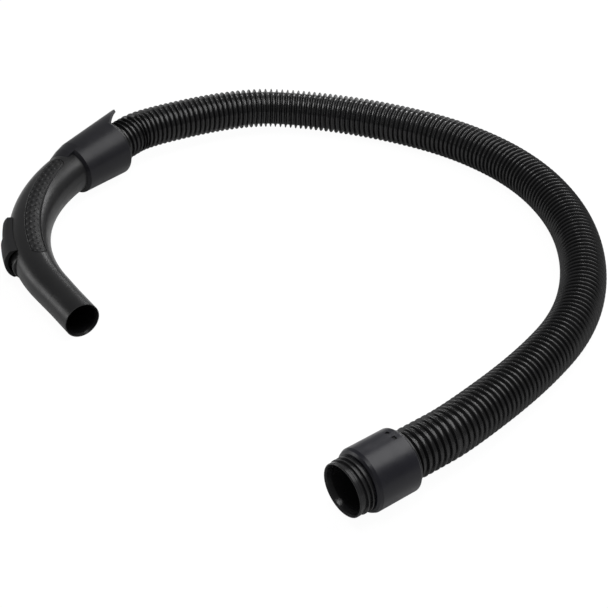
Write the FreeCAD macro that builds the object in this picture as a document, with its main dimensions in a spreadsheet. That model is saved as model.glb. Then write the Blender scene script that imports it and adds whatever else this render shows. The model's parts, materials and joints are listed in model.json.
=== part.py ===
import FreeCAD, Part
import math
import os
import Sketcher

# Suction hose for a floor cleaner: a ribbed hose that lies on the floor, a bent handle at one
# end and a threaded cuff at the other. Millimetres and degrees, +Z up, floor at z = 0, origin
# under the middle of the handle and the cuff taken together.
#
# Two local frames hold the rigid ends. The handle's frame starts where its bend leaves the
# straight collar: +X runs out of the collar along the hose, the bend goes back towards -X and
# -Y, and Z is square to the bend. The cuff's frame starts in the middle of its open mouth and
# runs along +X to the hose.

Vector = FreeCAD.Vector
Placement = FreeCAD.Placement
Rotation = FreeCAD.Rotation

doc = FreeCAD.newDocument("SuctionHose")

# Driving sizes

drivingSizes = [
    ("HoseCrownRadius", 20.0, "outside of the hose's ribs"),
    ("HoseRootRadius", 17.5, "outside of the hose between ribs"),
    ("HoseBoreRadius", 16.0, "inside of the hose"),
    ("RibPitch", 5.6, "rib to rib along the hose"),
    ("RibTopWidth", 1.1, "flat crown of a rib"),
    ("RibFootWidth", 3.0, "foot of a rib"),
    ("RunningGap", 0.3, "clearance round everything that turns or slides"),
    ("FlangeThickness", 3.0, "flange of a hose ferrule, which is also its end wall"),
    ("FerruleWall", 1.1, "sleeve of a hose ferrule"),
    ("RetainerLength", 3.6, "ring that holds the handle's ferrule"),
    ("SealThickness", 4.4, "sealing ring between a ferrule and its seat"),
    ("HandleX", -116.5, "bend start of the handle"),
    ("HandleY", 213.9, "bend start of the handle"),
    ("HandleHeading", 51.8, "direction in which the collar points, from +X"),
    ("HandleTilt", 1.5, "rise of the collar's axis towards the hose"),
    ("BendRadius", 169.4, "centreline of the handle's bend"),
    ("BendAngle", 73.1, "turn of the handle's bend"),
    ("TubeRadius", 20.8, "outside of the tube in the collar"),
    ("TubeEndRadius", 16.7, "outside of the tube at the end of its bend"),
    ("TubeWall", 2.5, "wall of the tube"),
    ("SpigotLength", 3.3, "straight end of the tube in the collar"),
    ("SpoutRadius", 16.0, "outside of the straight spout that takes the wand"),
    ("SpoutBoreRadius", 14.2, "inside of the spout"),
    ("SpoutLength", 58.2, "straight end of the handle, with its taper"),
    ("TaperLength", 28.0, "first length of the spout, which still narrows"),
    ("ChamferLength", 2.5, "chamfer inside the spout's mouth"),
    ("ChamferTaper", 0.4, "radius that the chamfer gains per millimetre"),
    ("CollarRimWall", 3.4, "wall of the collar round the recess at the hose"),
    ("CollarRimX", 39.3, "rim of the collar"),
    ("CollarTaper", 0.0706, "radius that the collar gains per millimetre"),
    ("CollarFlangeStep", 2.3, "flange of the handle's ferrule proud of its sleeve"),
    ("CollarEndX", -14.5, "rear end of the collar on the inside of the bend"),
    ("CollarEndSlope", 2.6, "length of the steep slope at that end"),
    ("LobeFromX", -8.5, "where the collar's lobe starts to close on the tube"),
    ("LobeMiddleX", -19.0, "middle of the lobe"),
    ("LobeRise", 2.4, "outside of the lobe over the tube at its middle"),
    ("LobeEndX", -29.0, "rear end of the lobe on the outside of the bend"),
    ("LobeSink", 1.2, "end of the lobe below the tube's start radius"),
    ("LobeSide", -5.0, "lower side of the lobe"),
    ("MouthStep", 1.6, "recess for the ferrule's nose wider than the chamber it turns in"),
    ("MouthDepth", 5.0, "depth of that recess"),
    ("RimRounding", 2.4, "rounded outer edge of the collar's rim"),
    ("NoseReach", 3.6, "ferrule nose proud of the collar"),
    ("TongueReach", 23.5, "tongue beyond the collar's rim"),
    ("TongueBase", 17.5, "half width of the tongue at the rim"),
    ("TongueTip", 3.0, "half width of the tongue at its tip"),
    ("TongueThickness", 3.0, "wall of the tongue"),
    ("TongueAngle", 54.0, "place of the tongue round the collar, from +Y"),
    ("GripShiftX", 20.6, "centre of the ring that a grip inlay is cut from, from the bend's centre"),
    ("GripShiftY", 14.9, "how far that centre lies beyond the bend's centre"),
    ("GripRingStep", 20.2, "middle of that ring wider than the bend"),
    ("GripHalfWidth", 7.4, "half width of a grip inlay"),
    ("GripFrom", 18.2, "angle on that ring where a grip inlay starts"),
    ("GripSpan", 41.5, "length of a grip inlay in degrees"),
    ("GripDepth", 0.9, "depth of the recess for a grip inlay"),
    ("GripProud", 0.2, "grip inlay proud of the tube"),
    ("SeatFrom", 41.2, "angle on the bend where the vent seat starts"),
    ("SeatTo", 61.2, "angle on the bend where the vent seat ends"),
    ("SeatDrop", 13.5, "middle of the seat's round section below the tube's start radius"),
    ("SeatRadius", 12.9, "round section of the seat"),
    ("SeatRounding", 2.0, "rounded ends of the seat"),
    ("GrooveFrom", 42.8, "angle on the bend where the seat's two side grooves start"),
    ("GrooveSpan", 14.0, "length of the grooves in degrees"),
    ("GrooveDrop", 3.4, "lower wall of the grooves below the top of the seat"),
    ("GrooveHeight", 1.2, "height of the grooves"),
    ("GrooveDepth", 1.8, "depth of the grooves in the side of the seat"),
    ("SliderFrom", 41.3, "angle on the bend where the slider starts, vent open"),
    ("SliderSpan", 16.7, "length of the slider in degrees"),
    ("SliderTravel", 2.0, "travel of the slider in degrees, vent closed at its end"),
    ("SliderEndPlay", 0.1, "play of its ribs at each end of the grooves in degrees"),
    ("SliderRoof", 3.0, "outer face of the slider over the seat"),
    ("SliderCheek", 1.1, "side of the slider wider than the seat"),
    ("SliderWall", 2.0, "side wall of the slider that its ribs grow from"),
    ("CrownLift", 0.2, "middle of the slider's rounded back over the middle of the seat"),
    ("SliderCorner", 3.0, "rounded corners at its two ends"),
    ("ThumbRise", 2.4, "raised thumb end of the slider over its outer face"),
    ("ThumbSpan", 8.6, "length of the thumb end in degrees"),
    ("ThumbStepRounding", 1.0, "rounded step up to the thumb end"),
    ("HollowLift", 0.5, "middle of the wide hollow in the thumb end over the middle of the seat"),
    ("HollowStep", 1.7, "round section of that hollow wider than the seat"),
    ("HollowSpan", 2.2, "depth of that hollow in degrees"),
    ("VentHalfWidth", 4.5, "half width of the air vent"),
    ("VentFrom", 58.7, "angle on the bend where the vent starts"),
    ("VentSpan", 1.1, "length of the vent in degrees"),
    ("CuffX", 121.9, "open mouth of the cuff"),
    ("CuffY", -259.2, "open mouth of the cuff"),
    ("CuffHeading", 36.5, "direction in which the hose leaves the cuff, from +X"),
    ("SleeveWall", 2.25, "wall of the cuff's sleeve, which rests on the floor"),
    ("SleeveFlangeStep", 1.3, "flange of the cuff's ferrule proud of its sleeve"),
    ("SleeveFrontX", 14.0, "front face of the sleeve"),
    ("SleeveFootInset", 3.05, "how far the bevel takes in the sleeve's front edge"),
    ("SleeveBevel", 3.6, "length of the bevel"),
    ("SleeveFrontWall", 5.2, "front wall of the sleeve"),
    ("SleeveRearX", 53.5, "rear edge of the sleeve"),
    ("SleeveRounding", 1.7, "rounded rear edge of the sleeve"),
    ("NippleRootRadius", 19.9, "threaded nipple between its threads"),
    ("NippleBoreRadius", 18.3, "inside of the nipple"),
    ("NippleRearX", 27.0, "rear end of the nipple inside the sleeve"),
    ("NippleFlangeLength", 3.4, "flange behind the sleeve's front wall"),
    ("LipRadius", 21.2, "plain lip at the mouth"),
    ("LipLength", 2.6, "plain lip at the mouth"),
    ("FlareRadius", 20.2, "inside of the nipple at its mouth"),
    ("FlareLength", 5.0, "flared mouth of the nipple"),
    ("ThreadCrestRadius", 21.8, "outside of the thread"),
    ("ThreadPitch", 4.0, "pitch of the thread"),
    ("ThreadStartX", 4.0, "start of the thread"),
    ("ThreadLength", 7.6, "length of the thread along the axis"),
    ("ThreadFootWidth", 2.2, "width of the thread at its foot"),
    ("ThreadTopWidth", 0.9, "width of the thread at its crest"),
    ("CuffNoseReach", 2.5, "ferrule nose proud of the sleeve"),
    ("CuffNoseLength", 5.0, "length of that nose"),
    ("WindowX", 45.0, "snap windows, measured from the mouth"),
    ("WindowLength", 2.8, "snap window along the axis"),
    ("WindowWidth", 3.6, "snap window round the sleeve"),
    ("WindowSpread", 9.0, "angle from a pair's middle to each window"),
    ("WindowAngle", 84.0, "place of the first pair of windows, from +Y"),
    ("LugHeight", 1.5, "snap lug proud of its ring"),
    ("HoseLead", 75.0, "first run of the hose out of each ferrule"),
]

sheet = doc.addObject("Spreadsheet::Sheet", "Sizes")
for row, (alias, value, meaning) in enumerate(drivingSizes, 1):
    sheet.set(f"A{row}", meaning)
    sheet.set(f"B{row}", str(value))
    sheet.setAlias(f"B{row}", alias)
doc.recompute()


class Size:
    """A length or an angle, with the sheet expression that gives it."""

    def __init__(self, value, text):
        self.value = value
        self.text = text

    def __add__(self, other):
        other = asSize(other)
        return Size(self.value + other.value, f"({self.text} + {other.text})")

    def __sub__(self, other):
        other = asSize(other)
        return Size(self.value - other.value, f"({self.text} - {other.text})")

    def __mul__(self, factor):
        factor = asSize(factor)
        return Size(self.value * factor.value, f"({self.text} * {factor.text})")

    def __neg__(self):
        return self * -1


def asSize(number):
    return number if isinstance(number, Size) else Size(float(number), f"({number})")


def size(alias):
    return Size(float(getattr(sheet, alias)), f"Sizes.{alias}")


def halfWidthAt(radius, rise):
    """Half the width of a round section at a height over its middle."""
    value = math.sqrt(radius.value**2 - rise.value**2)
    return Size(value, f"sqrt(({radius.text})^2 - ({rise.text})^2)")


# Sizes that follow from those, from the hose outwards and from the tube outwards

gap = size("RunningGap")
ferruleBore = size("HoseCrownRadius") + gap
ferruleOuter = ferruleBore + size("FerruleWall")
collarBore = ferruleOuter + size("CollarFlangeStep") + gap
mouthRadius = collarBore + size("MouthStep")
collarRim = mouthRadius + size("CollarRimWall")
sleeveBore = ferruleOuter + size("SleeveFlangeStep") + gap
sleeveRadius = sleeveBore + size("SleeveWall")
seatCentre = size("TubeRadius") - size("SeatDrop")
seatTop = seatCentre + size("SeatRadius")
grooveLow = seatTop - size("GrooveDrop")
grooveHigh = grooveLow + size("GrooveHeight")
grooveRise = grooveLow + size("GrooveHeight") * 0.5 - seatCentre
grooveInside = halfWidthAt(size("SeatRadius"), grooveRise) - size("GrooveDepth")
sliderTop = seatTop + size("SliderRoof")
thumbTop = sliderTop + size("ThumbRise")


# Building helpers


def add(kind, name, placement=None, **sizes):
    """One object of the document with its sizes bound to the sheet."""
    item = doc.addObject(kind, name)
    if placement is not None:
        item.Placement = placement
    for prop, value in sizes.items():
        setattr(item, prop, value.value)
        item.setExpression(prop, value.text)
    return item


def fuse(name, *items):
    item = doc.addObject("Part::MultiFuse", name)
    item.Shapes = list(items)
    return item


def cut(name, base, tool):
    item = doc.addObject("Part::Cut", name)
    item.Base = base
    item.Tool = tool
    return item


def common(name, *items):
    item = doc.addObject("Part::MultiCommon", name)
    item.Shapes = list(items)
    return item


def originPlane(body, role):
    return next(f for f in body.Origin.OriginFeatures if f.Role == role)


def outline(body, name, role, points):
    """A closed sketch on one of the body's own planes, each corner bound to the sheet."""
    sketch = body.newObject("Sketcher::SketchObject", name)
    sketch.AttachmentSupport = [(originPlane(body, role), "")]
    sketch.MapMode = "FlatFace"
    corners = [(asSize(u), asSize(v)) for u, v in points]
    count = len(corners)
    for i in range(count):
        (u1, v1), (u2, v2) = corners[i], corners[(i + 1) % count]
        ends = Vector(u1.value, v1.value, 0), Vector(u2.value, v2.value, 0)
        sketch.addGeometry(Part.LineSegment(*ends), False)
    for i in range(count):
        sketch.addConstraint(Sketcher.Constraint("Coincident", i, 2, (i + 1) % count, 1))
    for i, corner in enumerate(corners):
        for kind, distance in zip(("DistanceX", "DistanceY"), corner):
            k = sketch.addConstraint(Sketcher.Constraint(kind, -1, 1, i, 1, distance.value))
            sketch.setExpression(f"Constraints[{k}]", distance.text)
    return sketch


def turned(name, points, roundings=()):
    """A body turned about its X axis from (x, radius) corners; roundings are (x, r, radius)."""
    body = doc.addObject("PartDesign::Body", name)
    sketch = outline(body, name + "Profile", "XY_Plane", points)
    turn = body.newObject("PartDesign::Revolution", name + "Turned")
    turn.Profile = sketch
    turn.ReferenceAxis = (sketch, ["H_Axis"])
    turn.Angle = 360
    doc.recompute()
    for number, (x, radius, rounding) in enumerate(roundings, 1):
        before = body.Tip
        edges = ringEdges(before, x.value, radius.value)
        fillet = body.newObject("PartDesign::Fillet", f"{name}Rounding{number}")
        fillet.Base = (before, edges)
        fillet.Radius = rounding.value
        fillet.setExpression("Radius", rounding.text)
        doc.recompute()
    return body


def ringEdges(feature, x, radius):
    """Names of the circular edges of a turned feature at one place on its axis."""
    found = []
    for number, edge in enumerate(feature.Shape.Edges, 1):
        if isinstance(edge.Curve, Part.Circle):
            centre = edge.Curve.Center
            if abs(centre.x - x) < 0.01 and abs(edge.Curve.Radius - radius) < 0.01:
                found.append(f"Edge{number}")
    return found


def ringBlock(name, centre, inner, outer, halfHeight, start, span):
    """A sector of a flat ring; start and span are angles on it, from the bend's beginning."""
    place = Placement(centre - Vector(0, 0, halfHeight.value), Rotation(90 + start.value, 0, 0))
    tall = halfHeight * 2
    disc = add("Part::Cylinder", name + "Disc", place, Radius=outer, Height=tall, Angle=span)
    hole = add("Part::Cylinder", name + "Hole", place, Radius=inner, Height=tall)
    return cut(name, disc, hole)


def bendBlock(name, inner, outer, halfHeight, start, span):
    """A ring sector about the bend's centre; inner and outer are heights over its centreline."""
    radius = size("BendRadius")
    centre = Vector(0, -radius.value, 0)
    return ringBlock(name, centre, radius + inner, radius + outer, halfHeight, start, span)


def onBend(angle):
    """Point and direction of the handle's centreline at an angle on its bend."""
    radius, t = size("BendRadius").value, math.radians(angle)
    point = Vector(-radius * math.sin(t), -radius * (1 - math.cos(t)), 0)
    return point, Vector(-math.cos(t), -math.sin(t), 0)


def bendLoft(name, start, end, steps=10):
    """A solid along the bend whose radius falls from start to end, faster towards the end."""
    circles = []
    for i in range(steps + 1):
        share = i / steps
        point, ahead = onBend(size("BendAngle").value * share)
        inward = ahead.cross(Vector(0, 0, -1))
        place = Placement(point, Rotation(inward, Vector(0, 0, 1), ahead, "ZXY"))
        radius = start - (start - end) * share**2
        circles.append(add("Part::Circle", f"{name}Section{i}", place, Radius=radius))
    loft = doc.addObject("Part::Loft", name)
    loft.Sections = circles
    loft.Solid = True
    return loft


def straightRod(name, start, direction, radius, length):
    place = Placement(start, Rotation(Vector(0, 0, 1), direction))
    return add("Part::Cylinder", name, place, Radius=radius, Height=length)


# Where the two rigid ends lie


def handlePlacement():
    """The handle lies with its collar's rim and the mouth of its spout on the floor."""
    tilt = math.radians(size("HandleTilt").value)
    rimHeight = collarRim.value * math.cos(tilt)
    height = rimHeight - size("CollarRimX").value * math.sin(tilt)
    bendEnd, ahead = onBend(size("BendAngle").value)
    mouth = bendEnd + ahead * size("SpoutLength").value
    drop = height + mouth.x * math.sin(tilt) - size("SpoutRadius").value
    roll = math.degrees(math.asin(drop / (-mouth.y * math.cos(tilt))))
    turn = Rotation(size("HandleHeading").value, -size("HandleTilt").value, roll)
    return Placement(Vector(size("HandleX").value, size("HandleY").value, height), turn)


def cuffPlacement():
    place = Vector(size("CuffX").value, size("CuffY").value, sleeveRadius.value)
    return Placement(place, Rotation(size("CuffHeading").value, 0, 0))


handleFrame = handlePlacement()
cuffFrame = cuffPlacement()


# Handle tube: spout, bend, spigot, vent seat and recesses for the grips


def seatRing(name, centre, radius, start, span):
    """A round rod bent about the bend's centre; centre is its height over the bend's centreline."""
    bend = size("BendRadius")
    place = Placement(Vector(0, -bend.value, 0), Rotation(90 + start.value, 0, 0))
    return add("Part::Torus", name, place, Radius1=bend + centre, Radius2=radius, Angle3=span)


def sideBars(name, low, high, inside, outside, start, span):
    """A pair of bars along the bend, one on each side of its middle plane."""
    full = bendBlock(name + "Full", low, high, outside, start, span)
    middle = bendBlock(name + "Middle", low - 1, high + 1, inside, start - 1, span + 2)
    return cut(name, full, middle)


def ventSeat():
    """A round seat on the outside of the bend, with two side grooves that hold the slider."""
    start, radius = size("SeatFrom"), size("SeatRadius")
    rod = seatRing("SeatRod", seatCentre, radius, start, size("SeatTo") - start)
    return softened("VentSeat", rod, size("SeatRounding"), isRing(radius.value))


def gripZone(name, side):
    """Plan outline of a grip inlay, tall enough to pass through one flank of the handle."""
    bend = size("BendRadius")
    centre = Vector(size("GripShiftX").value, -(bend + size("GripShiftY")).value, 0)
    ring, half, tall = bend + size("GripRingStep"), size("GripHalfWidth"), size("TubeRadius") + 5
    start, span = size("GripFrom"), size("GripSpan")
    outlines = [ringBlock(name + "Ring", centre, ring - half, ring + half, tall, start, span)]
    for label, angle in (("Near", start), ("Far", start + span)):
        turn = math.radians(angle.value)
        middle = centre + Vector(-math.sin(turn), math.cos(turn), 0) * ring.value
        foot = Placement(middle - Vector(0, 0, tall.value), Rotation())
        outlines.append(add("Part::Cylinder", name + label, foot, Radius=half, Height=tall * 2))
    corner = Placement(Vector(-300, -300, 0 if side > 0 else -100), Rotation())
    wide, deep = asSize(400), asSize(100)
    flank = add("Part::Box", name + "Flank", corner, Length=wide, Width=wide, Height=deep)
    return common(name, fuse(name + "Plan", *outlines), flank)


def handleTube():
    start, end = size("TubeRadius"), size("TubeEndRadius")
    wall, spigot, spout = size("TubeWall"), size("SpigotLength"), size("SpoutLength")
    bendEnd, ahead = onBend(size("BendAngle").value)
    taper, chamfer = size("TaperLength"), size("ChamferLength")
    turn = Rotation(Vector(0, 0, 1), ahead)
    cone = add("Part::Cone", "SpoutTaper", Placement(bendEnd, turn),
               Radius1=end, Radius2=size("SpoutRadius"), Height=taper)
    outside = fuse(
        "TubeOutside",
        bendLoft("TubeBend", start, end),
        straightRod("Spigot", Vector(0, 0, 0), Vector(1, 0, 0), start, spigot),
        cone,
        straightRod("Spout", bendEnd + ahead * taper.value, ahead, size("SpoutRadius"), spout - taper),
        ventSeat(),
    )
    bore = size("SpoutBoreRadius")
    mouth = Placement(bendEnd + ahead * (spout - chamfer).value, turn)
    flare = add("Part::Cone", "MouthChamfer", mouth,
                Radius1=bore, Radius2=bore + (chamfer + 1) * size("ChamferTaper"), Height=chamfer + 1)
    grooves = sideBars("SeatGrooves", grooveLow, grooveHigh, grooveInside, size("SeatRadius"),
                       size("GrooveFrom"), size("GrooveSpan"))
    hollow = fuse(
        "TubeHollow",
        bendLoft("TubeBore", start - wall, bore),
        straightRod("SpigotBore", Vector(0, 0, 0), Vector(1, 0, 0), start - wall, spigot + 5),
        straightRod("SpoutBore", bendEnd, ahead, bore, spout + 5),
        bendBlock("Vent", asSize(0), asSize(40), size("VentHalfWidth"), size("VentFrom"), size("VentSpan")),
        flare,
        grooves,
    )
    depth = size("GripDepth")
    skin = cut("GripSkin", bendLoft("SkinOuter", start + 3, end + 3), bendLoft("SkinInner", start - depth, end - depth))
    zones = fuse("GripZones", gripZone("UpperZone", 1), gripZone("LowerZone", -1))
    shell = cut("TubeShell", outside, hollow)
    return cut("handle_tube", shell, common("GripRecess", skin, zones))


def gripInlay(label, side):
    """A soft inlay that fills its recess and follows the handle's flank."""
    start, end = size("TubeRadius"), size("TubeEndRadius")
    proud, depth = size("GripProud"), size("GripDepth")
    outer = bendLoft(label + "Outer", start + proud, end + proud)
    inner = bendLoft(label + "Inner", start - depth, end - depth)
    return common(label, cut(label + "Skin", outer, inner), gripZone(label + "Zone", side))


# Handle collar with its lobe and its tongue


def collarRadius(x):
    return collarRim - (size("CollarRimX") - x) * size("CollarTaper")


def lobeSpace(name, flipped):
    """Everything on the outer side of the bend, or everything on its inner side."""
    side = asSize(200)
    corner = Vector(-100, size("LobeSide").value - (200 if flipped else 0), -100)
    return add("Part::Box", name, Placement(corner, Rotation()), Length=side, Width=side, Height=side)


def handleCollar():
    """A flared collar that ends steeply inside the bend and closes in a long lobe outside it."""
    rim, step = size("CollarRimX"), size("SpigotLength")
    recess = rim - size("MouthDepth")
    axle, bore, mouth = asSize(15), collarBore, mouthRadius
    front = [(step, axle), (step, bore), (recess, bore), (recess, mouth), (rim, mouth)]
    front.append((rim, collarRim))
    rounding = [(rim, collarRim, size("RimRounding"))]
    end, lobe = size("CollarEndX"), size("LobeEndX")
    foot = end - size("CollarEndSlope")
    start = size("TubeRadius")
    steep = turned("CollarInside", [
        *front, (end, collarRadius(end)), (foot, start), (foot, axle),
    ], rounding)
    long = turned("CollarOutside", [
        *front, (size("LobeFromX"), collarRadius(size("LobeFromX"))),
        (size("LobeMiddleX"), start + size("LobeRise")), (lobe, start - size("LobeSink")), (lobe, axle),
    ], rounding)
    wall = fuse(
        "CollarWall",
        common("CollarInner", steep, lobeSpace("InnerSpace", True)),
        common("CollarOuter", long, lobeSpace("OuterSpace", False)),
        tongue(),
    )
    seat = fuse(
        "CollarSeat",
        bendLoft("CollarBend", start, size("TubeEndRadius")),
        straightRod("CollarSpigot", Vector(0, 0, 0), Vector(1, 0, 0), start, step + 1),
    )
    return cut("handle_collar", wall, seat)


def tongue():
    """A pointed tongue that carries the collar's flared wall on beyond its rim."""
    start = size("CollarRimX") - size("MouthDepth")
    rim, end = size("CollarRimX"), size("CollarRimX") + size("TongueReach")
    wall = size("TongueThickness")
    outer = collarRadius(start), collarRadius(end)
    shell = turned("TongueShell", [
        (start, outer[0] - wall + 0.4), (end, outer[1] - wall), (end, outer[1]), (start, outer[0]),
    ])
    wedge = doc.addObject("PartDesign::Body", "TongueWedge")
    base, tip = size("TongueBase"), size("TongueTip")
    plan = [(start, -base), (rim, -base), (end, -tip), (end, tip), (rim, base), (start, base)]
    pad = wedge.newObject("PartDesign::Pad", "TonguePad")
    pad.Profile = outline(wedge, "TonguePlan", "XY_Plane", plan)
    pad.Length = 60
    wedge.Placement = Placement(Vector(), Rotation(Vector(1, 0, 0), size("TongueAngle").value - 90))
    return common("Tongue", shell, wedge)


# Regulator slider on the outside of the bend


def regulatorSlider():
    """A cap over the seat whose flanks reach down to the tube and whose ribs run in the grooves."""
    start, span, thumb = size("SliderFrom"), size("SliderSpan"), size("ThumbSpan")
    seat = size("SeatRadius")
    wide = seat + size("SliderCheek")
    step = start + span - thumb
    block = fuse(
        "SliderBlock",
        bendBlock("SliderCap", seatCentre, sliderTop, wide, start, span),
        bendBlock("SliderThumb", sliderTop - 1, thumbTop, wide, step, thumb),
    )
    block.Refine = True
    stepped = softened("SliderStep", block, size("ThumbStepRounding"), isUprightAt(step))
    cornered = softened("SliderCorners", stepped, size("SliderCorner"), isUprightAt(start, start + span))
    crown = seatCentre + size("CrownLift")
    back = seatRing("SliderBack", crown, thumbTop - crown, start - 1, span + 2)
    outside = common("SliderOutside", cornered, back)
    end = start + span
    hollow = fuse(
        "SliderHollow",
        seatRing("SeatClearance", seatCentre, seat + gap, start - 1, span + 2),
        seatRing("WideHollow", seatCentre + size("HollowLift"), seat + size("HollowStep"),
                 end - size("HollowSpan"), asSize(5)),
        bendLoft("TubeClearance", size("TubeRadius") + gap, size("TubeEndRadius") + gap),
    )
    play = size("SliderEndPlay")
    ribs = sideBars("SliderRibs", grooveLow + gap, grooveHigh - gap, grooveInside + gap,
                    wide - size("SliderWall"), size("GrooveFrom") + play,
                    size("GrooveSpan") - size("SliderTravel") - play * 2)
    return fuse("regulator_slider", cut("SliderShell", outside, hollow), ribs)


def softened(name, base, rounding, picks):
    """Rounds the edges of a shape that a test picks."""
    doc.recompute()
    edges = [
        (number, rounding.value, rounding.value)
        for number, edge in enumerate(base.Shape.Edges, 1)
        if picks(edge)
    ]
    fillet = doc.addObject("Part::Fillet", name)
    fillet.Base = base
    fillet.Edges = edges
    return fillet


def isRing(radius):
    return lambda edge: isinstance(edge.Curve, Part.Circle) and abs(edge.Curve.Radius - radius) < 0.01


def isUprightAt(*angles):
    """Picks the edges square to the bend's plane at some angles on it, outside its seat."""
    def picks(edge):
        first, last = edge.Vertexes[0].Point, edge.Vertexes[-1].Point
        reach = math.hypot(first.x, first.y + size("BendRadius").value)
        angle = math.degrees(math.atan2(-first.x, first.y + size("BendRadius").value))
        upright = abs(first.z - last.z) > 1 and math.hypot(first.x - last.x, first.y - last.y) < 0.01
        outside = reach > (size("BendRadius") + sliderTop).value - 0.01
        return upright and outside and any(abs(angle - place.value) < 0.01 for place in angles)
    return picks


# Swivel pieces at the handle


sealEnd = size("SpigotLength") + size("SealThickness")
hoseSeat = sealEnd + gap + size("FlangeThickness")


def handleFerrule():
    """Grips the end of the hose and turns inside the collar."""
    rim = size("CollarRimX")
    noseBack, noseEnd = rim - size("MouthDepth") + gap, rim + size("NoseReach")
    flange, nose = collarBore - gap, mouthRadius - gap
    bore = size("HoseBoreRadius")
    return turned("handle_ferrule", [
        (sealEnd + gap, bore), (hoseSeat, bore), (hoseSeat, ferruleBore), (noseEnd, ferruleBore),
        (noseEnd, nose), (noseBack, nose), (noseBack, ferruleOuter), (hoseSeat, ferruleOuter),
        (hoseSeat, flange), (sealEnd + gap, flange),
    ], [(noseEnd, nose, asSize(1.2))])


def handleRetainer():
    start = hoseSeat + gap
    inner, outer = ferruleOuter + gap, collarBore
    end = start + size("RetainerLength")
    return turned("handle_retaining_ring", [(start, inner), (end, inner), (end, outer), (start, outer)])


def handleSeal():
    start, end = size("SpigotLength"), sealEnd
    inner, outer = size("TubeRadius") - size("TubeWall") + 0.4, collarBore - gap
    return turned("handle_seal", [(start, inner), (end, inner), (end, outer), (start, outer)])


# Threaded cuff


cuffFlangeBack = size("NippleRearX") + size("SealThickness") + gap
cuffHoseSeat = cuffFlangeBack + size("FlangeThickness")
cuffNoseBack = size("SleeveRearX") + size("CuffNoseReach") - size("CuffNoseLength")


def snapBlocks(prefix, inner, height, shrink):
    """Two facing pairs of small blocks on the sleeve's wall, as windows or as lugs."""
    length, width = size("WindowLength") - shrink * 2, size("WindowWidth") - shrink * 2
    middle, spread = size("WindowAngle").value, size("WindowSpread").value
    angles = [middle - spread, middle + spread, middle + 180 - spread, middle + 180 + spread]
    blocks = []
    for number, angle in enumerate(angles, 1):
        turn = Rotation(Vector(1, 0, 0), angle - 90)
        corner = Vector((size("WindowX") + shrink).value, -(width * 0.5).value, inner.value)
        place = Placement(turn.multVec(corner), turn)
        blocks.append(add("Part::Box", f"{prefix}{number}", place, Length=length, Width=width, Height=height))
    return fuse(prefix + "s", *blocks)


def cuffSleeve():
    front, rear = size("SleeveFrontX"), size("SleeveRearX")
    outer, bore, foot = sleeveRadius, sleeveBore, sleeveRadius - size("SleeveFootInset")
    bevel, wall = size("SleeveBevel"), size("SleeveFrontWall")
    hole = size("NippleRootRadius") + 0.1
    shell = turned("SleeveShell", [
        (front, hole), (front + wall, hole), (front + wall, bore), (rear, bore), (rear, outer),
        (front + bevel, outer), (front + bevel * 0.35, outer - (outer - foot) * 0.35), (front, foot),
    ], [(rear, outer, size("SleeveRounding"))])
    return cut("cuff_sleeve", shell, snapBlocks("Window", bore - 1, outer - bore + 3, asSize(0)))


def threadedNipple():
    bore, root, lip = size("NippleBoreRadius"), size("NippleRootRadius"), size("LipRadius")
    flangeFront = size("SleeveFrontX") + size("SleeveFrontWall")
    flangeEnd = flangeFront + size("NippleFlangeLength")
    flange = sleeveBore - 0.1
    rear = size("NippleRearX")
    flare = size("FlareRadius")
    body = turned("threaded_nipple", [
        (asSize(0), flare), (size("FlareLength") * 0.3, flare - (flare - bore) * 0.45),
        (size("FlareLength"), bore), (rear, bore), (rear, root), (flangeEnd, root), (flangeEnd, flange),
        (flangeFront, flange), (flangeFront, root), (size("LipLength") + 1.1, root),
        (size("LipLength"), lip), (asSize(0.5), lip), (asSize(0), lip - 0.5),
    ])
    start, foot, top = size("ThreadStartX"), size("ThreadFootWidth"), size("ThreadTopWidth")
    crest = size("ThreadCrestRadius")
    inset = (foot - top) * 0.5
    profile = outline(body, "ThreadProfile", "XY_Plane", [
        (start, root - 0.4), (start + foot, root - 0.4), (start + foot - inset, crest), (start + inset, crest),
    ])
    thread = body.newObject("PartDesign::AdditiveHelix", "Thread")
    thread.Profile = profile
    thread.ReferenceAxis = (profile, ["H_Axis"])
    thread.Mode = 0
    thread.setExpression("Pitch", "Sizes.ThreadPitch")
    thread.setExpression("Height", "Sizes.ThreadLength")
    return body


def cuffFerrule():
    nose = sleeveBore - gap
    noseEnd = size("SleeveRearX") + size("CuffNoseReach")
    bore, flange = size("HoseBoreRadius"), sleeveBore - gap
    return turned("cuff_ferrule", [
        (cuffFlangeBack, bore), (cuffHoseSeat, bore), (cuffHoseSeat, ferruleBore), (noseEnd, ferruleBore),
        (noseEnd, nose), (cuffNoseBack, nose), (cuffNoseBack, ferruleOuter), (cuffHoseSeat, ferruleOuter),
        (cuffHoseSeat, flange), (cuffFlangeBack, flange),
    ], [(noseEnd, nose, asSize(0.9))])


def cuffRetainer():
    start, end = cuffHoseSeat + gap, cuffNoseBack - gap
    inner, outer = ferruleOuter + gap, sleeveBore
    ring = turned("CuffRetainerRing", [(start, inner), (end, inner), (end, outer), (start, outer)])
    lugs = snapBlocks("Lug", outer - 0.5, size("LugHeight") + 0.5, asSize(0.2))
    return fuse("cuff_retaining_ring", ring, lugs)


def cuffSeal():
    start, end = size("NippleRearX"), size("NippleRearX") + size("SealThickness")
    inner, outer = size("NippleBoreRadius") + 0.4, sleeveBore - gap
    return turned("cuff_seal", [(start, inner), (end, inner), (end, outer), (start, outer)])


# Hose: straight runs joined by tangent arcs, chosen by eye along the photographed hose


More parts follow.
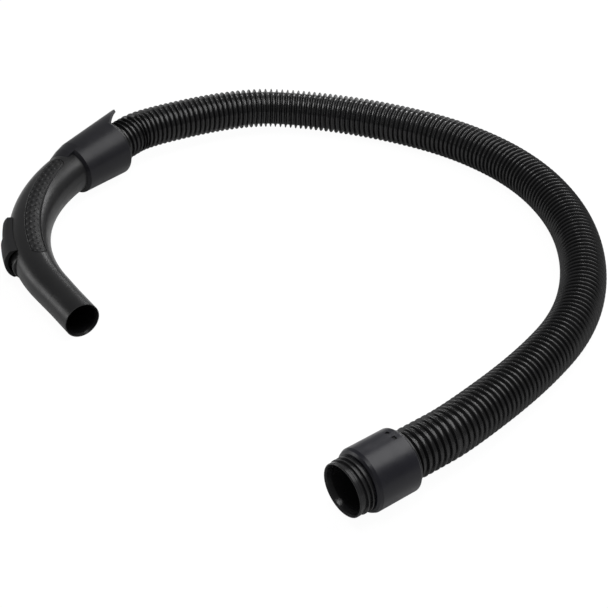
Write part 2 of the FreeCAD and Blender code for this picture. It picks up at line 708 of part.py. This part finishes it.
def hoseRoute():
    lead = size("HoseLead").value
    first = handleFrame.multVec(Vector(hoseSeat.value, 0, 0))
    second = handleFrame.multVec(Vector(hoseSeat.value + lead, 0, 0))
    beforeLast = cuffFrame.multVec(Vector(cuffHoseSeat.value + lead, 0, 0))
    last = cuffFrame.multVec(Vector(cuffHoseSeat.value, 0, 0))
    free = [
        Vector(38, 333, 25.5),
        Vector(106, 332, 21),
        Vector(188, 304, 20),
        Vector(261, 259, 20),
        Vector(317, 192, 20),
        Vector(345, 110, 20),
        Vector(346, 24, 20),
        Vector(323, -57, 20),
        Vector(276, -123, 20.5),
    ]
    return [first, second, *free, beforeLast, last]


def roundedRoute(points):
    """Lines and arcs along the route, with each arc as large as its two runs allow."""
    edges, start = [], points[0]
    for before, corner, after in zip(points, points[1:], points[2:]):
        toBefore, toAfter = (before - corner), (after - corner)
        reach = 0.45 * min(toBefore.Length, toAfter.Length)
        turn = math.pi - toBefore.getAngle(toAfter)
        radius = reach / math.tan(turn / 2)
        toBefore.normalize()
        toAfter.normalize()
        entry, leave = corner + toBefore * reach, corner + toAfter * reach
        inward = (toBefore + toAfter).normalize()
        middle = corner + inward * (radius / math.cos(turn / 2) - radius)
        edges.append(Part.LineSegment(start, entry).toShape())
        edges.append(Part.Arc(entry, middle, leave).toShape())
        print(f"hose turn {math.degrees(turn):.1f} degrees, radius {radius:.0f} mm")
        start = leave
    edges.append(Part.LineSegment(start, points[-1]).toShape())
    return edges


def placeOnRoute(edges, distance):
    """Point and direction at a distance along the route."""
    for edge in edges:
        if distance <= edge.Length or edge is edges[-1]:
            parameter = edge.getParameterByLength(min(distance, edge.Length))
            return edge.valueAt(parameter), edge.tangentAt(parameter)
        distance -= edge.Length


def ringAt(edges, distance, radius):
    """A circle square to the route whose X axis stays upright, so that the rings line up."""
    point, ahead = placeOnRoute(edges, distance)
    sideways = Vector(0, 0, 1).cross(ahead).normalize()
    circle = Part.Circle(point, ahead, radius)
    circle.XAxis = ahead.cross(sideways)
    return Part.Wire([circle.toShape()])


def ribbedHose():
    crown, root, bore = (size(n).value for n in ("HoseCrownRadius", "HoseRootRadius", "HoseBoreRadius"))
    pitch, top, foot = (size(n).value for n in ("RibPitch", "RibTopWidth", "RibFootWidth"))
    edges = roundedRoute(hoseRoute())
    length = sum(edge.Length for edge in edges)
    count = int(length // pitch)
    margin = (length - count * pitch) / 2
    places = [(0, root)]
    for i in range(count):
        middle = margin + (i + 0.5) * pitch
        places += [(middle - foot / 2, root), (middle - top / 2, crown)]
        places += [(middle + top / 2, crown), (middle + foot / 2, root)]
    places.append((length, root))
    outside = Part.makeLoft([ringAt(edges, s, r) for s, r in places], True, True)
    passage = Part.Wire(edges).makePipeShell([ringAt(edges, 0, bore)], True, False)
    shape = outside.cut(passage)
    section = math.pi * (root**2 - bore**2)
    ribArea = (top + foot) / 2 * (crown - root)
    ribs = count * ribArea * math.pi * (crown + root)
    print(f"hose length {length:.1f} mm, {count} ribs, volume {shape.Volume / 1000:.1f} cm3,")
    print(f"section times length plus ribs {(section * length + ribs) / 1000:.1f} cm3")
    hose = doc.addObject("Part::Feature", "hose")
    hose.Shape = shape
    return hose


# Build every piece, check it and write it

handlePieces = [
    handleTube(),
    handleCollar(),
    gripInlay("grip_inlay_upper", 1),
    gripInlay("grip_inlay_lower", -1),
    regulatorSlider(),
    handleFerrule(),
    handleRetainer(),
    handleSeal(),
]
cuffPieces = [
    cuffSleeve(),
    threadedNipple(),
    cuffFerrule(),
    cuffRetainer(),
    cuffSeal(),
]
for piece in handlePieces:
    piece.Placement = handleFrame.multiply(piece.Placement)
for piece in cuffPieces:
    piece.Placement = cuffFrame.multiply(piece.Placement)
pieces = handlePieces + cuffPieces + [ribbedHose()]
doc.recompute()

for item in doc.Objects:
    if {"Invalid", "Error"} & set(item.State):
        raise RuntimeError(f"{item.Name} failed: {item.State}")
for piece in pieces:
    piece.Label = piece.Name
    if piece.Shape.isNull() or not piece.Shape.isValid():
        raise RuntimeError(f"{piece.Name} has no valid shape")

os.makedirs("parts", exist_ok=True)
for piece in pieces:
    piece.Shape.exportStep(f"parts/{piece.Label}.step")
    print(f"{piece.Label}: {len(piece.Shape.Solids)} solid, {piece.Shape.Volume / 1000:.2f} cm3")
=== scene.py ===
import json
import math
from bisect import bisect_right
import bpy
from mathutils import Matrix, Vector


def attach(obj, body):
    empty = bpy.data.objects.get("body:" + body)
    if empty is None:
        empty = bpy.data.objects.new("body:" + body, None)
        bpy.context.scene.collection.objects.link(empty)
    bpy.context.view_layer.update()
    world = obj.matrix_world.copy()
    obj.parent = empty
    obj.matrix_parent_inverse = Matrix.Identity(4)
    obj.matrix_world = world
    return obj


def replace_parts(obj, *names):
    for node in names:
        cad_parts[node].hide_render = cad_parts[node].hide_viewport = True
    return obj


# Suction hose with a bent handle and a threaded cuff, all black plastic, lying on a pale floor.
# Metres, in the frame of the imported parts. The dictionaries of hose, grip and finishes hold
# millimetres, those of camera and studio metres.

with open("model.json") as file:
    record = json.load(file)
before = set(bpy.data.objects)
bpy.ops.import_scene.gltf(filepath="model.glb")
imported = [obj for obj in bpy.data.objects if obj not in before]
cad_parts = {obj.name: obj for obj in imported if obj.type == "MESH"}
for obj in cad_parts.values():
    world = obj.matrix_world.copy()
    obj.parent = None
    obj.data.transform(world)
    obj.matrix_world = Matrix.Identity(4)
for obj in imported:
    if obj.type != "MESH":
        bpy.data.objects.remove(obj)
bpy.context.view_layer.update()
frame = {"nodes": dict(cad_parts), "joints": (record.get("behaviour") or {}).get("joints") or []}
nodes = frame["nodes"]
mm = 0.001
scene = bpy.context.scene
scene.view_settings.view_transform = "Standard"


def linear(hexColour):  # sRGB hex to the linear colour that shaders take
    channels = [int(hexColour[i:i + 2], 16) / 255 for i in (1, 3, 5)]
    return [c / 12.92 if c <= 0.04045 else ((c + 0.055) / 1.055) ** 2.4 for c in channels] + [1]


# adds one shader node; inputs are plain values or the sockets that feed them
def addNode(tree, kind, inputs=None, **settings):
    node = tree.nodes.new("ShaderNode" + kind)
    for name, value in settings.items():
        setattr(node, name, value)
    for name, value in (inputs or {}).items():
        if isinstance(value, bpy.types.NodeSocket):
            tree.links.new(value, node.inputs[name])
        else:
            node.inputs[name].default_value = value
    return node


def newMaterial(name):
    material = bpy.data.materials.new(name)
    material.use_nodes = True
    material.node_tree.nodes.clear()
    return material, material.node_tree


def meshPiece(name, points, faces, material, smooth=True):
    mesh = bpy.data.meshes.new(name)
    mesh.from_pydata(points, [], faces)
    mesh.polygons.foreach_set("use_smooth", [smooth] * len(mesh.polygons))
    mesh.materials.append(material)
    mesh.update()
    piece = bpy.data.objects.new(name, mesh)
    scene.collection.objects.link(piece)
    return piece


# camera, where the photographer stood; lens and sensor in millimetres
cameraLook = {
    "place": (0.098, -0.958, 0.68222), "downDegrees": 35.3255, "rollDegrees": -1.20794,
    "lens": 80.03, "sensor": 36, "farthest": 50,
}


def addCamera(look):
    data = bpy.data.cameras.new("camera")
    data.lens = look["lens"]
    data.sensor_width = look["sensor"]
    data.clip_end = look["farthest"]
    down, roll = math.radians(look["downDegrees"]), math.radians(look["rollDegrees"])
    ahead = Vector((0, math.cos(down), -math.sin(down)))
    right = Vector((1, 0, 0))
    up = right.cross(ahead)
    turnedRight = right * math.cos(roll) + up * math.sin(roll)
    turnedUp = up * math.cos(roll) - right * math.sin(roll)
    camera = bpy.data.objects.new("camera", data)
    axes = Matrix((turnedRight, turnedUp, -ahead)).transposed()
    camera.matrix_world = Matrix.Translation(look["place"]) @ axes.to_4x4()
    scene.collection.objects.link(camera)
    scene.camera = camera


addCamera(cameraLook)
print("camera placed")

# Moulded plastics differ in gloss and grain only, so one recipe makes them all: two close
# colours in broad clouds, gloss that wanders a little where hands wear it, and the fine grain
# of the mould. Real grain is finer than a pixel here, so it is drawn coarse enough to show.
mouldedLook = {"cloudMm": 38, "wearMm": 9, "wearRange": (0.3, 0.7), "grainStrength": 0.6,
               "ior": 1.5}

plastics = {
    # ABS from a spark-eroded mould: a soft sheen that follows the bend
    "satinAbsHandle": {"colours": ("#0f0f10", "#161617"), "gloss": (0.28, 0.36),
                       "grainMm": 0.7, "grainDepthMm": 0.012, "specular": 0.27},
    # ABS from a slightly coarser mould: a broad, weaker sheen
    "satinAbsCollar": {"colours": ("#141417", "#1b1b1f"), "gloss": (0.3, 0.38),
                       "grainMm": 0.7, "grainDepthMm": 0.015, "specular": 0.2},
    # ABS from a coarse mould for the thumb: nearly no sheen
    "satinAbsSlider": {"colours": ("#151516", "#1c1c1d"), "gloss": (0.52, 0.62),
                       "grainMm": 0.6, "grainDepthMm": 0.02, "specular": 0.14},
    # acetal from a polished mould: small clear glints on the turning rings
    "polishedAcetalRing": {"colours": ("#111112", "#181819"), "gloss": (0.22, 0.32),
                           "grainMm": 0.5, "grainDepthMm": 0.006, "specular": 0.28},
    # ABS with a trace of blue from a fine mould: one clear, soft highlight
    "semiGlossAbsCuff": {"colours": ("#0f0f15", "#15151c"), "gloss": (0.28, 0.36),
                         "grainMm": 0.8, "grainDepthMm": 0.01, "specular": 0.29},
    # ABS from a polished mould: thin bright lines on the thread
    "glossAbsNipple": {"colours": ("#1a1a1b", "#212122"), "gloss": (0.2, 0.3),
                       "grainMm": 0.8, "grainDepthMm": 0.006, "specular": 0.22},
    # moulded nitrile rubber: dull
    "nitrileSeal": {"colours": ("#0c0c0c", "#131313"), "gloss": (0.62, 0.75),
                    "grainMm": 0.4, "grainDepthMm": 0.02, "specular": 0.28},
    # moulded soft thermoplastic: dull, so its dimples show as dark dots
    "softGripTpe": {"colours": ("#0d0d0e", "#131314"), "gloss": (0.45, 0.58),
                    "grainMm": 0.5, "grainDepthMm": 0.02, "specular": 0.18},
    # polyethylene blown against a polished mould: a bright line on each rib's crest
    "blowMouldedPolyethylene": {"colours": ("#0d0d0e", "#141415"), "gloss": (0.19, 0.28),
                                "grainMm": 1.2, "grainDepthMm": 0.006, "specular": 0.42},
}


def mouldedPlastic(name, look, shared):
    material, tree = newMaterial(name)
    place = addNode(tree, "TexCoord").outputs["Object"]

    def cloud(sizeMm, detail):  # soft noise of a real size
        node = addNode(tree, "TexNoise", {"Vector": place, "Scale": 1 / (sizeMm * mm),
                                          "Detail": detail})
        return node.outputs["Fac"]

    darker, lighter = (linear(c) for c in look["colours"])
    colour = addNode(tree, "Mix", {0: cloud(shared["cloudMm"], 3.0), 6: darker, 7: lighter},
                     data_type="RGBA")
    low, high = look["gloss"]
    least, most = shared["wearRange"]
    gloss = addNode(tree, "MapRange", {
        "Value": cloud(shared["wearMm"], 4.0), "From Min": least, "From Max": most,
        "To Min": low, "To Max": high})
    relief = addNode(tree, "Bump", {
        "Height": cloud(look["grainMm"], 2.0), "Strength": shared["grainStrength"],
        "Distance": look["grainDepthMm"] * mm})
    shader = addNode(tree, "BsdfPrincipled", {
        "Base Color": colour.outputs[2], "Roughness": gloss.outputs["Result"],
        "Normal": relief.outputs["Normal"], "IOR": shared["ior"],
        "Specular IOR Level": look["specular"]})
    addNode(tree, "OutputMaterial", {"Surface": shader.outputs["BSDF"]})
    return material


finishes = {name: mouldedPlastic(name, look, mouldedLook) for name, look in plastics.items()}

nodeFinish = {
    "handle_tube": "satinAbsHandle", "handle_collar": "satinAbsCollar",
    "regulator_slider": "satinAbsSlider",
    "grip_inlay_upper": "softGripTpe", "grip_inlay_lower": "softGripTpe",
    "handle_ferrule": "polishedAcetalRing", "handle_retaining_ring": "polishedAcetalRing",
    "handle_seal": "nitrileSeal",
    "cuff_sleeve": "semiGlossAbsCuff", "threaded_nipple": "glossAbsNipple",
    "cuff_ferrule": "polishedAcetalRing", "cuff_retaining_ring": "polishedAcetalRing",
    "cuff_seal": "nitrileSeal",
}
for node, finish in nodeFinish.items():
    for slot in nodes[node].material_slots:
        slot.material = finishes[finish]
print("finishes made")

# hose
hose = {
    # the route's points, from the handle to the cuff
    "route": [(-109.7, 222.541, 28.249), (-84.972, 253.964, 29.296), (-63.335, 281.461, 30.212),
              (38, 333, 25.5), (106, 332, 21), (188, 304, 20), (261, 259, 20),
              (317, 192, 20), (345, 110, 20), (346, 24, 20), (323, -57, 20), (276, -123, 20.5),
              (210.083, -193.948, 25.25), (181.948, -214.767, 25.25), (149.794, -238.56, 25.25)],
    "lineSteps": 40, "pitch": 5.6, "crown": 20.0, "root": 16.7, "bore": 16.0,
    # one rib: distance from its middle and share of its height
    "rib": [(-2.0, 0), (-1.5, 0.06), (-1.05, 0.34), (-0.7, 0.7), (-0.36, 0.93), (0, 1),
            (0.36, 0.93), (0.7, 0.7), (1.05, 0.34), (1.5, 0.06), (2.0, 0)],
    "around": 56, "boreStep": 8.0,  # faces round it, and length of a face in its smooth bore
    "realLength": 1.02, "realDiameter": 0.04,  # metres, over the ribs
}


def splinePoints(route, steps):  # points of a smooth curve along the route, from its bare line
    data = bpy.data.curves.new("hoseLine", "CURVE")
    data.dimensions = "3D"
    data.resolution_u = steps
    spline = data.splines.new("NURBS")
    spline.points.add(len(route) - 1)
    for point, place in zip(spline.points, route):
        point.co = [c * mm for c in place] + [1]
    spline.order_u = 3
    spline.use_endpoint_u = True
    line = bpy.data.objects.new("hoseLine", data)
    scene.collection.objects.link(line)
    mesh = bpy.data.meshes.new_from_object(line)
    points = [v.co.copy() for v in mesh.vertices]
    bpy.data.objects.remove(line)
    return points


def ribbedHose(look):
    path = splinePoints(look["route"], look["lineSteps"])
    reached = [0.0]
    for before, after in zip(path, path[1:]):
        reached.append(reached[-1] + (after - before).length)
    length = reached[-1]

    def along(distance):  # point and direction at a distance along the path
        i = min(bisect_right(reached, distance), len(path) - 1) - 1
        step = path[i + 1] - path[i]
        return path[i] + step * ((distance - reached[i]) / step.length), step.normalized()

    count = round(length / (look["pitch"] * mm))
    pitch = length / count
    root, crown = look["root"] * mm, look["crown"] * mm
    stations = [(0.0, root)]
    for i in range(count):
        middle = (i + 0.5) * pitch
        stations += [(middle + offset * mm, root + share * (crown - root))
                     for offset, share in look["rib"]]
    stations.append((length, root))
    steps = int(length / (look["boreStep"] * mm))
    stations += [(length * (1 - i / steps), look["bore"] * mm) for i in range(steps + 1)]

    points = []
    for distance, radius in stations:
        centre, ahead = along(distance)
        side = ahead.cross(Vector((0, 0, 1))).normalized()
        up = side.cross(ahead)
        for k in range(look["around"]):
            turn = 2 * math.pi * k / look["around"]
            points.append(centre + (side * math.cos(turn) + up * math.sin(turn)) * radius)
    around, total = look["around"], len(stations)
    faces = []
    for i in range(total):
        following = (i + 1) % total
        for k in range(around):
            beside = (k + 1) % around
            faces.append((i * around + k, i * around + beside,
                          following * around + beside, following * around + k))
    piece = meshPiece("ribbedHose", points, faces, finishes["blowMouldedPolyethylene"])
    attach(piece, "hose_line")
    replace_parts(piece, "hose")
    print(f"hose made: {length / mm:.0f} mm, {count} ribs")


ribbedHose(hose)

# soft grips with their moulded dimples
grip = {
    # plan of a grip in the plane of the handle's bend: a ring sector with round ends
    "ringCentre": (20.6, -184.3), "ringRadius": 189.6, "halfWidth": 7.4,
    "fromDegrees": 18.2, "spanDegrees": 41.5, "endGap": 0.02,
    # the tube that it lies on, whose radius falls along the bend
    "bendRadius": 169.4, "bendAngle": 73.1, "tubeStart": 20.8, "tubeEnd": 16.7,
    "proud": 0.2, "depth": 0.88, "cell": 0.38, "sharpDegrees": 60,
    # rows of dimples: place across the grip, radius and depth, largest by its outer border
    "rows": [(3.9, 2.1, 0.8), (-0.1, 1.9, 0.65), (-3.7, 1.6, 0.4)],
    "pitch": 8.4, "grooveInset": 0.95, "grooveWidth": 0.6, "grooveDepth": 0.8,
}


def gripRelief(look, along, across, edge):  # height of the grip's face over the tube
    height = look["proud"]
    inset = abs(edge - look["grooveInset"]) / look["grooveWidth"]
    if inset < 1:
        height -= look["grooveDepth"] * (1 - inset * inset)
    if edge > look["grooveInset"] + look["grooveWidth"]:
        for number, (place, radius, deep) in enumerate(look["rows"]):
            shift = (number % 2) * look["pitch"] / 2
            nearest = (along - shift + look["pitch"] / 2) % look["pitch"] - look["pitch"] / 2
            reach = math.hypot(nearest, across - place) / radius
            if reach < 1:
                height -= deep * (1 - reach ** 3)
    return height


def dimpledGrip(name, look, side):
    joints = {joint["name"]: joint for joint in frame["joints"]}
    centre, square = (Vector(joints["regulator_slide"][key]) for key in ("pos_m", "axis"))
    out = -Vector(joints["handle_swivel"]["axis"])
    across = square.cross(out)
    half, ring, bend = look["halfWidth"], look["ringRadius"], look["bendRadius"]
    gap = look["endGap"]  # keeps the end rows from shrinking to a point
    first = math.radians(look["fromDegrees"]) * ring
    straight = math.radians(look["spanDegrees"]) * ring
    rows = int((straight + 2 * half) / look["cell"])
    columns = int(2 * half / look["cell"])

    def place(along, sideways, height):
        turn, reach = (first + along) / ring, ring + sideways
        x = look["ringCentre"][0] - reach * math.sin(turn)
        y = look["ringCentre"][1] + reach * math.cos(turn) + bend
        offset = math.hypot(x, y) - bend
        share = math.degrees(math.atan2(-x, y)) / look["bendAngle"]
        radius = look["tubeStart"] - (look["tubeStart"] - look["tubeEnd"]) * share ** 2 + height
        z = side * math.sqrt(radius ** 2 - offset ** 2)
        return centre + (out * x + across * y + square * z) * mm

    face, back = [], []
    for i in range(rows + 1):
        along = gap - half + (straight + 2 * (half - gap)) * i / rows
        beyond = max(-along, along - straight, 0)
        wide = math.sqrt(half ** 2 - beyond ** 2)
        for j in range(columns + 1):
            sideways = wide * (2 * j / columns - 1)
            edge = half - math.hypot(beyond, sideways)
            face.append(place(along, sideways, gripRelief(look, along, sideways, edge)))
            back.append(place(along, sideways, -look["depth"]))
    perRow = columns + 1
    under = len(face)
    faces = []
    for i in range(rows):
        for j in range(columns):
            a, b = i * perRow + j, (i + 1) * perRow + j
            faces.append((a, b, b + 1, a + 1))
            faces.append((under + a, under + a + 1, under + b + 1, under + b))
    rim = [i * perRow for i in range(rows + 1)]
    rim += [rows * perRow + j for j in range(1, perRow)]
    rim += [i * perRow + columns for i in range(rows - 1, -1, -1)]
    rim += list(range(columns - 1, 0, -1))
    for here, there in zip(rim, rim[1:] + rim[:1]):
        faces.append((there, here, under + here, under + there))
    if side < 0:
        faces = [corners[::-1] for corners in faces]
    piece = meshPiece(name, face + back, faces, finishes["softGripTpe"])
    piece.data.set_sharp_from_angle(angle=math.radians(look["sharpDegrees"]))
    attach(piece, "handle")
    return piece


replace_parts(dimpledGrip("dimpledGripUpper", grip, 1), "grip_inlay_upper")
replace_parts(dimpledGrip("dimpledGripLower", grip, -1), "grip_inlay_lower")
print("grips made")

# studio: pale floor, four soft boxes and an even room that the camera sees as white
studio = {
    # how much of the white is the floor's and the room's own, for the camera and for
    # reflections; the rest takes shadows
    "shownWhite": 0.91, "mirroredWhite": 0.12,
    "floor": "#c4c4c4", "floorSize": 12.0, "floorDrop": 0.0002, "paperWhite": 1.06,
    "room": "#ffffff", "roomLevel": 0.25, "roomWhite": 1.1,
    # each box faces the place that it aims at
    "boxes": {
        # the main light, high on the right
        "boxAbove": {"place": (0.95, 0.26, 1.20), "aim": (0.05, 0.0, 0.0),
                     "size": (1.3, 1.0), "watts": 17.0},
        # behind, for the upper side of the hose
        "boxBehind": {"place": (0.8, 1.9, 1.0), "aim": (0.1, 0.1, 0.0),
                      "size": (1.0, 0.5), "watts": 15.0},
        # narrow and overhead
        "boxOverhead": {"place": (0.05, -0.25, 1.7), "aim": (0.05, -0.05, 0.0),
                        "size": (0.35, 1.0), "watts": 15.0},
        # low on the left, for the bright band along the spout
        "boxLeft": {"place": (-1.6, 0.3, 0.28), "aim": (-0.1, 0.0, 0.0),
                    "size": (0.9, 0.5), "watts": 4.4},
    },
}


def whiteShare(tree, look):  # how much white a ray meets, by what kind of ray it is
    rays = addNode(tree, "LightPath").outputs
    seen = addNode(tree, "Math", {0: rays["Is Camera Ray"], 1: rays["Is Transmission Ray"]},
                   operation="MAXIMUM")
    shown = addNode(tree, "Math", {0: seen.outputs[0], 1: look["shownWhite"]},
                    operation="MULTIPLY")
    mirrored = addNode(tree, "Math", {0: rays["Is Glossy Ray"], 1: look["mirroredWhite"]},
                       operation="MULTIPLY")
    share = addNode(tree, "Math", {0: shown.outputs[0], 1: mirrored.outputs[0]},
                    operation="MAXIMUM")
    return share.outputs[0]


def paleFloor(look):
    material, tree = newMaterial("matteFloorPaper")
    paper = addNode(tree, "BsdfDiffuse", {"Color": linear(look["floor"])})
    white = addNode(tree, "Emission", {"Color": (1, 1, 1, 1), "Strength": look["paperWhite"]})
    both = addNode(tree, "MixShader", {0: whiteShare(tree, look), 1: paper.outputs[0],
                                       2: white.outputs[0]})
    addNode(tree, "OutputMaterial", {"Surface": both.outputs[0]})
    half, low = look["floorSize"] / 2, -look["floorDrop"]
    corners = [(-half, -half, low), (half, -half, low), (half, half, low), (-half, half, low)]
    meshPiece("floor", corners, [(0, 1, 2, 3)], material, smooth=False)


def evenRoom(look):
    world = bpy.data.worlds.new("room")
    world.use_nodes = True
    tree = world.node_tree
    tree.nodes.clear()
    level = addNode(tree, "Math", {
        0: whiteShare(tree, look), 1: look["roomWhite"] - look["roomLevel"],
        2: look["roomLevel"]}, operation="MULTIPLY_ADD")
    room = addNode(tree, "Background", {"Color": linear(look["room"]),
                                        "Strength": level.outputs[0]})
    addNode(tree, "OutputWorld", {"Surface": room.outputs[0]})
    scene.world = world


def softBox(name, look):
    data = bpy.data.lights.new(name, "AREA")
    data.shape = "RECTANGLE"
    data.size, data.size_y = look["size"]
    data.energy = look["watts"]
    lamp = bpy.data.objects.new(name, data)
    lamp.location = look["place"]
    facing = Vector(look["aim"]) - Vector(look["place"])
    lamp.rotation_euler = facing.to_track_quat("-Z", "Y").to_euler()
    scene.collection.objects.link(lamp)


paleFloor(studio)
evenRoom(studio)
for name, box in studio["boxes"].items():
    softBox(name, box)
print("studio lit")
